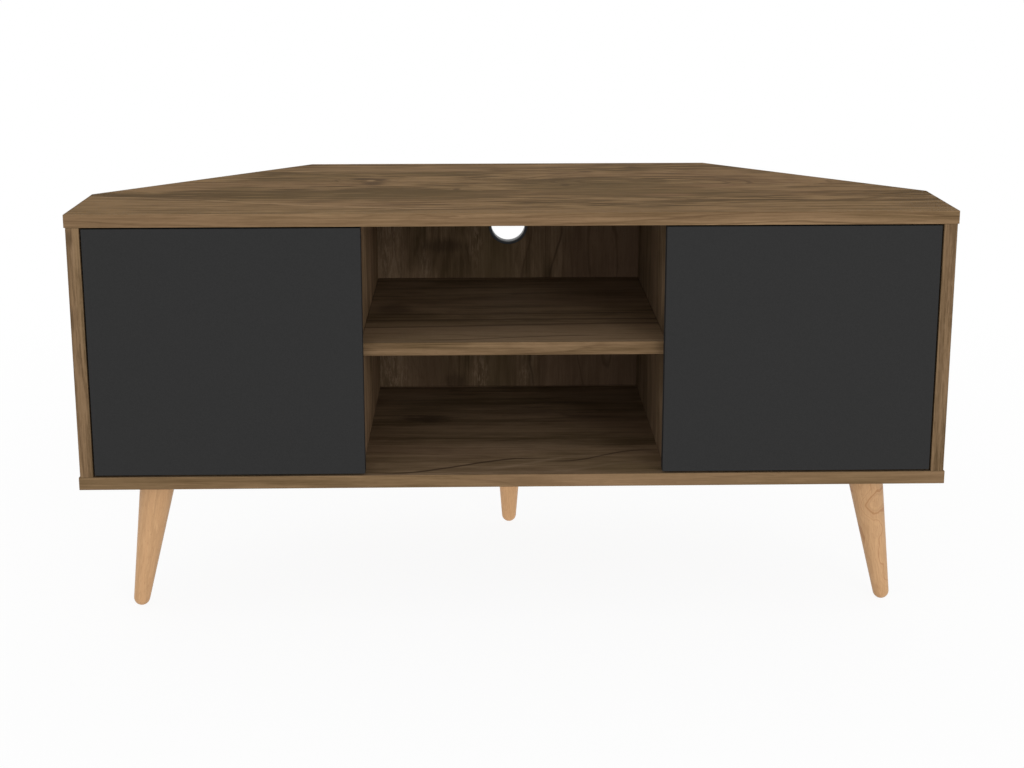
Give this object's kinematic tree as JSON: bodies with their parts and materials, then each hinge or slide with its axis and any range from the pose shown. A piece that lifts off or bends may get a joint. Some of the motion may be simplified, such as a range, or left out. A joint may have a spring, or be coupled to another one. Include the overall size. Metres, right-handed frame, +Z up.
{
  "type": "corner tv cabinet",
  "caption": "Low corner cabinet with cut-off rear corners: cupboards with plain dark doors beside an open shelved bay, a cable hole in the back and splayed wooden legs.",
  "frame": {"origin": "on the floor, under the centre of the cabinet's bounding box", "axes": "+X to the right seen from the front, +Y towards the room corner behind the cabinet, +Z up"},
  "size_m": [1.2, 0.45, 0.586],
  "materials": {
    "walnut_board": "walnut-pattern melamine board, satin",
    "anthracite_board": "plain anthracite melamine board, matt",
    "beech": "clear-lacquered beech",
    "steel": "nickel-plated steel",
    "grey_plastic": "satin",
    "clear_rubber": "soft clear pad"
  },
  "bodies": {
    "carcass": {"top_panel": "walnut_board", "bottom_panel": "walnut_board", "left_side_panel": "walnut_board", "right_side_panel": "walnut_board", "left_diagonal_panel": "walnut_board", "right_diagonal_panel": "walnut_board", "back_panel": "walnut_board", "left_divider": "walnut_board", "right_divider": "walnut_board", "centre_shelf": "walnut_board", "left_latch_body": "grey_plastic", "left_front_shelf_dowel": "beech", "left_rear_shelf_dowel": "beech", "left_upper_bumper": "clear_rubber", "left_upper_hinge_arm": "steel", "left_upper_hinge_plate": "steel", "left_lower_bumper": "clear_rubber", "left_lower_hinge_arm": "steel", "left_lower_hinge_plate": "steel", "right_latch_body": "grey_plastic", "right_front_shelf_dowel": "beech", "right_rear_shelf_dowel": "beech", "right_upper_bumper": "clear_rubber", "right_upper_hinge_arm": "steel", "right_upper_hinge_plate": "steel", "right_lower_bumper": "clear_rubber", "right_lower_hinge_arm": "steel", "right_lower_hinge_plate": "steel", "cable_grommet": "grey_plastic", "left_leg": "beech", "left_leg_plate": "steel", "left_leg_bolt": "steel", "right_leg": "beech", "right_leg_plate": "steel", "right_leg_bolt": "steel", "rear_leg": "beech", "rear_leg_plate": "steel", "rear_leg_bolt": "steel"},
    "left_door": {"left_door": "anthracite_board", "left_latch_strike": "steel", "left_upper_hinge_cup": "steel", "left_upper_hinge_pin": "steel", "left_lower_hinge_cup": "steel", "left_lower_hinge_pin": "steel"},
    "right_door": {"right_door": "anthracite_board", "right_latch_strike": "steel", "right_upper_hinge_cup": "steel", "right_upper_hinge_pin": "steel", "right_lower_hinge_cup": "steel", "right_lower_hinge_pin": "steel"},
    "left_plunger": {"left_latch_plunger": "grey_plastic"},
    "right_plunger": {"right_latch_plunger": "grey_plastic"}
  },
  "joints": [
    {"name": "left_door_hinge", "type": "hinge", "parent": "carcass", "child": "left_door", "pos_m": [-0.5575, -0.216, 0.3935], "axis": [0, 0, -1], "range_deg": [0, 100]},
    {"name": "right_door_hinge", "type": "hinge", "parent": "carcass", "child": "right_door", "pos_m": [0.5575, -0.216, 0.3935], "axis": [0, 0, 1], "range_deg": [0, 100]},
    {"name": "left_plunger_slide", "type": "slide", "parent": "carcass", "child": "left_plunger", "axis": [0, -1, 0], "range_m": [0, 0.0121]},
    {"name": "right_plunger_slide", "type": "slide", "parent": "carcass", "child": "right_plunger", "axis": [0, -1, 0], "range_m": [0, 0.0121]}
  ],
  "couplings": [
    {"joint": "left_plunger_slide", "follows": "left_door_hinge", "m_per_rad": 0.0068755},
    {"joint": "right_plunger_slide", "follows": "right_door_hinge", "m_per_rad": 0.0068755}
  ]
}
